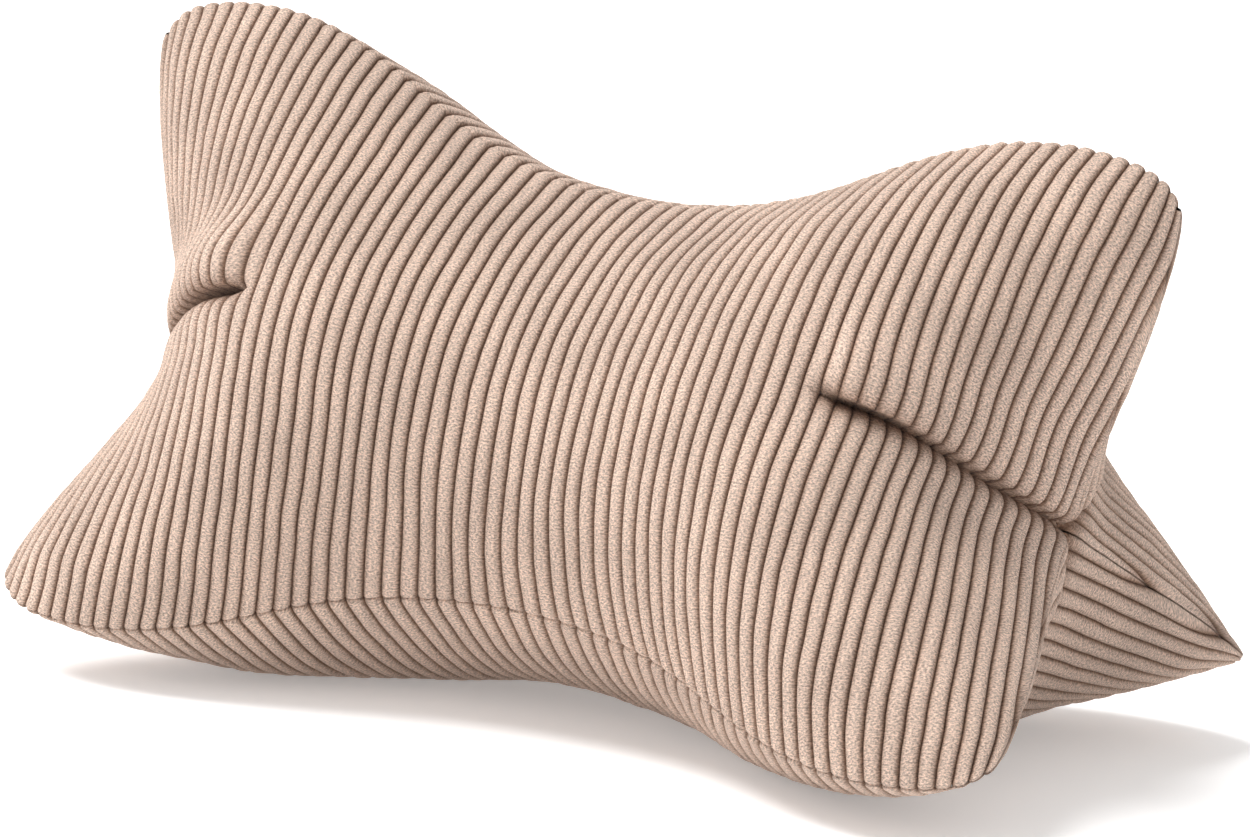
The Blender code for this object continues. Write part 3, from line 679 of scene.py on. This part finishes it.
def corduroy_material():
    made, nodes, links, shader = node_material("corduroy_pile")
    flat = nodes.new("ShaderNodeAttribute")
    flat.attribute_name = "flat_place"
    height_and_shade = nodes.new("ShaderNodeAttribute")
    height_and_shade.attribute_name = "cord_height_and_shade"
    # painted shade: the colour darkens from the cord tops down into the grooves, and along the bottom of the
    # fold, following the height attribute
    ramp = nodes.new("ShaderNodeValToRGB")
    ramp.color_ramp.elements[0].position = 0.0
    ramp.color_ramp.elements[0].color = (0.125, 0.058, 0.030, 1)
    ramp.color_ramp.elements[1].position = 1.0
    ramp.color_ramp.elements[1].color = (0.78, 0.585, 0.475, 1)
    for at, colour in ((0.45, (0.355, 0.212, 0.142, 1)), (0.75, (0.61, 0.430, 0.335, 1))):
        ramp.color_ramp.elements.new(at).color = colour
    links.new(height_and_shade.outputs["Fac"], ramp.inputs["Fac"])
    place = nodes.new("ShaderNodeVectorMath")
    place.operation = "MULTIPLY"
    place.inputs[1].default_value = (1.0, 1.7, 1.0)
    links.new(flat.outputs["Vector"], place.inputs[0])
    tuft = nodes.new("ShaderNodeTexNoise")
    tuft.inputs["Scale"].default_value = 1000
    tuft.inputs["Detail"].default_value = 4
    tuft.inputs["Roughness"].default_value = 0.65
    links.new(place.outputs[0], tuft.inputs["Vector"])
    patch = nodes.new("ShaderNodeTexNoise")
    patch.inputs["Scale"].default_value = 28
    patch.inputs["Detail"].default_value = 3
    links.new(flat.outputs["Vector"], patch.inputs["Vector"])
    shade = nodes.new("ShaderNodeMapRange")
    shade.inputs["From Min"].default_value = 0.38
    shade.inputs["From Max"].default_value = 0.62
    shade.inputs["To Min"].default_value = 0.56
    shade.inputs["To Max"].default_value = 1.44
    links.new(tuft.outputs["Fac"], shade.inputs["Value"])
    wide = nodes.new("ShaderNodeMapRange")
    wide.inputs["From Min"].default_value = 0.3
    wide.inputs["From Max"].default_value = 0.7
    wide.inputs["To Min"].default_value = 0.90
    wide.inputs["To Max"].default_value = 1.10
    links.new(patch.outputs["Fac"], wide.inputs["Value"])
    both = nodes.new("ShaderNodeMath")
    both.operation = "MULTIPLY"
    links.new(shade.outputs[0], both.inputs[0])
    links.new(wide.outputs[0], both.inputs[1])
    tint = nodes.new("ShaderNodeVectorMath")
    tint.operation = "SCALE"
    links.new(ramp.outputs["Color"], tint.inputs[0])
    links.new(both.outputs[0], tint.inputs["Scale"])
    links.new(tint.outputs[0], shader.inputs["Base Color"])
    shader.inputs["Roughness"].default_value = 0.95
    shader.inputs["Specular IOR Level"].default_value = 0.15
    shader.inputs["Sheen Weight"].default_value = 0.10
    shader.inputs["Sheen Roughness"].default_value = 0.5
    bump = nodes.new("ShaderNodeBump")
    bump.inputs["Strength"].default_value = 1.0
    bump.inputs["Distance"].default_value = 0.0026
    links.new(tuft.outputs["Fac"], bump.inputs["Height"])
    links.new(bump.outputs["Normal"], shader.inputs["Normal"])
    return made


def plain_material(name, colour, roughness, metallic=0.0, grain=900.0, depth=0.0002):
    """A plain finish with a fine procedural grain."""
    made, nodes, links, shader = node_material(name)
    where = nodes.new("ShaderNodeTexCoord")
    grains = nodes.new("ShaderNodeTexNoise")
    grains.inputs["Scale"].default_value = grain
    links.new(where.outputs["Object"], grains.inputs["Vector"])
    ramp = nodes.new("ShaderNodeValToRGB")
    ramp.color_ramp.elements[0].color = (*[0.85 * x for x in colour], 1)
    ramp.color_ramp.elements[1].color = (*colour, 1)
    links.new(grains.outputs["Fac"], ramp.inputs["Fac"])
    links.new(ramp.outputs["Color"], shader.inputs["Base Color"])
    shader.inputs["Roughness"].default_value = roughness
    shader.inputs["Metallic"].default_value = metallic
    bump = nodes.new("ShaderNodeBump")
    bump.inputs["Strength"].default_value = 0.4
    bump.inputs["Distance"].default_value = depth
    links.new(grains.outputs["Fac"], bump.inputs["Height"])
    links.new(bump.outputs["Normal"], shader.inputs["Normal"])
    return made


# ---------------------------------------------------------------- build the pieces

cover = SewnCover()
solved = cover.solve()
surfaces = [Surface(cover.c, grid, panel) for panel, grid in enumerate(solved)]

CORDUROY = corduroy_material()
THREAD = plain_material("sewing_thread", (0.50, 0.36, 0.28), 0.7)
COTTON = plain_material("liner_weave", (0.82, 0.80, 0.76), 0.85)
FIBRE = plain_material("loose_fibre", (0.90, 0.90, 0.88), 0.95)

for panel, side in enumerate(PANELS):
    points, flat, height_and_shade = fine_panel(panel, surfaces[panel], panel == 2, panel == 1)
    grids = [points, hem(points, 0, (panel - 1) % 3), hem(points, -1, panel)]
    mesh = grid_mesh(f"corduroy_{side}_panel", grids)
    heights_and_shades, places = [height_and_shade.ravel()], [flat.reshape(-1, 2)]
    for row in (0, -1):
        heights_and_shades.append(np.repeat(height_and_shade[:, row], len(HEM)))
        places.append(np.repeat(flat[:, row], len(HEM), 0))
    place = np.concatenate(places)
    place = np.concatenate([place, np.full((len(place), 1), 0.31 * panel)], 1)
    # this attribute carries the pile height, with the painted shade of the grooves and of the fold bottom,
    # into the colour
    set_attribute(mesh, "cord_height_and_shade", "FLOAT", np.concatenate(heights_and_shades))
    set_attribute(mesh, "flat_place", "FLOAT_VECTOR", place)
    piece = add_piece(f"corduroy_{side}_panel", mesh, CORDUROY, "cushion", "corduroy", f"cover_{side}_panel")

for panel, side in enumerate(PANELS):
    grid = inner_grid(surfaces[panel], panel, LINER_DEPTH, MOST_ACROSS)
    mesh = grid_mesh(f"cotton_{side}_panel", [grid])
    piece = add_piece(f"cotton_{side}_panel", mesh, COTTON, "cushion", "liner_cotton", f"liner_{side}_panel")
grids = [inner_grid(surfaces[panel], panel, FILLING_DEPTH, 0.0) for panel in range(3)]
filling = add_piece(
    "fibre_core", grid_mesh("fibre_core", grids), FIBRE, "cushion", "polyester_fibre", "fibre_filling"
)
THREADS = (("stitching", "seam_thread", THREAD_DEPTH), ("liner_stitching", "liner_thread", LINER_DEPTH))
for stitching, node, depth in THREADS:
    for fin, where in enumerate(("top", "back", "front")):
        line = ridge_line(surfaces[fin], fin, depth)
        if node == "seam_thread" and where == "back":
            left, right_side = line[line[:, 0] < -ZIP_SHUT_AT], line[line[:, 0] > LABEL_TO]
            add_thread("stitching_back_left", left, "seam_thread_back_left")
            add_thread("stitching_back_right", right_side, "seam_thread_back_right")
        else:
            add_thread(f"{stitching}_{where}", line, f"{node}_{where}")

TAPE = plain_material("zip_tape_weave", (0.20, 0.12, 0.085), 0.85, 0.0, 1600.0, 0.0003)
NYLON = plain_material("zip_teeth_nylon", (0.17, 0.105, 0.075), 0.4)
METAL = plain_material("brushed_nickel", (0.55, 0.53, 0.50), 0.3, 1.0, 2500.0, 0.00003)
SATIN = plain_material("label_satin", (0.80, 0.78, 0.74), 0.5, 0.0, 1800.0, 0.0001)
CAD_FINISHES = (
    (TAPE, "zip_tape_lower", "zip_tape_upper"),
    (NYLON, "zip_coil_lower", "zip_coil_upper"),
    (METAL, "zip_slider", "zip_pull", "zip_stop_left", "zip_stop_right"),
    (SATIN, "care_label"),
)
for finish, *names in CAD_FINISHES:
    for name in names:
        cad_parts[name].data.materials.clear()
        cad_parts[name].data.materials.append(finish)

# ---------------------------------------------------------------- floor, light and camera

VIEW_AZIMUTH, VIEW_ELEVATION, VIEW_ROLL = (math.radians(a) for a in (27.97, 12.24, -3.887))
VIEW_DISTANCE = 3.6
SENSOR = 36
VIEW_LENS = 8.6731 * SENSOR  # frame widths to focal length
VIEW_SHIFT = (0.0022, 0.0250)

right = np.array([math.cos(VIEW_AZIMUTH), math.sin(VIEW_AZIMUTH), 0])
level = math.cos(VIEW_ELEVATION)
back = np.array([math.sin(VIEW_AZIMUTH) * level, -math.cos(VIEW_AZIMUTH) * level, math.sin(VIEW_ELEVATION)])
up = np.cross(back, right)
turn, lean = math.cos(VIEW_ROLL), math.sin(VIEW_ROLL)
x_axis, y_axis = right * turn - up * lean, right * lean + up * turn
camera_data = bpy.data.cameras.new("photo_view")
camera = bpy.data.objects.new("photo_view", camera_data)
bpy.context.scene.collection.objects.link(camera)
place = np.array([0, 0, AXIS_HEIGHT]) + back * VIEW_DISTANCE
turned = Matrix((x_axis, y_axis, back)).transposed().to_4x4()
camera.matrix_world = Matrix.Translation(Vector(place)) @ turned
camera_data.sensor_width = SENSOR
camera_data.lens = VIEW_LENS
camera_data.shift_x, camera_data.shift_y = VIEW_SHIFT
camera_data.clip_start = 0.05
camera_data.clip_end = 50
bpy.context.scene.camera = camera

FLOOR = 12.0  # half its width
floor_mesh = bpy.data.meshes.new("floor")
corners = [(-FLOOR, -FLOOR, 0), (FLOOR, -FLOOR, 0), (FLOOR, FLOOR, 0), (-FLOOR, FLOOR, 0)]
floor_mesh.from_pydata(corners, [], [(0, 1, 2, 3)])
floor = bpy.data.objects.new("floor", floor_mesh)
bpy.context.scene.collection.objects.link(floor)
paper, _, _, paper_shader = node_material("floor_paper")
paper_shader.inputs["Base Color"].default_value = (0.93, 0.93, 0.93, 1)
paper_shader.inputs["Roughness"].default_value = 0.9
paper_shader.inputs["Emission Color"].default_value = (1, 1, 1, 1)
paper_shader.inputs["Emission Strength"].default_value = 0.25
floor_mesh.materials.append(paper)


def area_light(name, place, target, size, power):
    data = bpy.data.lights.new(name, "AREA")
    data.shape = "DISK"
    data.size = size
    data.energy = power
    lamp = bpy.data.objects.new(name, data)
    bpy.context.scene.collection.objects.link(lamp)
    lamp.location = place
    lamp.rotation_mode = "QUATERNION"
    lamp.rotation_quaternion = (Vector(target) - Vector(place)).to_track_quat("-Z", "Y")


sun_data = bpy.data.lights.new("key", "SUN")
sun_data.energy = 4.7
sun_data.angle = math.radians(40)
sun = bpy.data.objects.new("key", sun_data)
bpy.context.scene.collection.objects.link(sun)
sun.rotation_mode = "QUATERNION"
sun.rotation_quaternion = Vector((0.46, 0.10, -0.88)).to_track_quat("-Z", "Y")
area_light("fill", (-1.2, -2.6, 1.2), (0, 0, 0.08), 2.0, 12)
world = bpy.data.worlds.new("studio")
bpy.context.scene.world = world
world.use_nodes = True
world.node_tree.nodes["Background"].inputs["Color"].default_value = (1, 1, 1, 1)
world.node_tree.nodes["Background"].inputs["Strength"].default_value = 0.67

bpy.context.scene.view_settings.view_transform = "Standard"
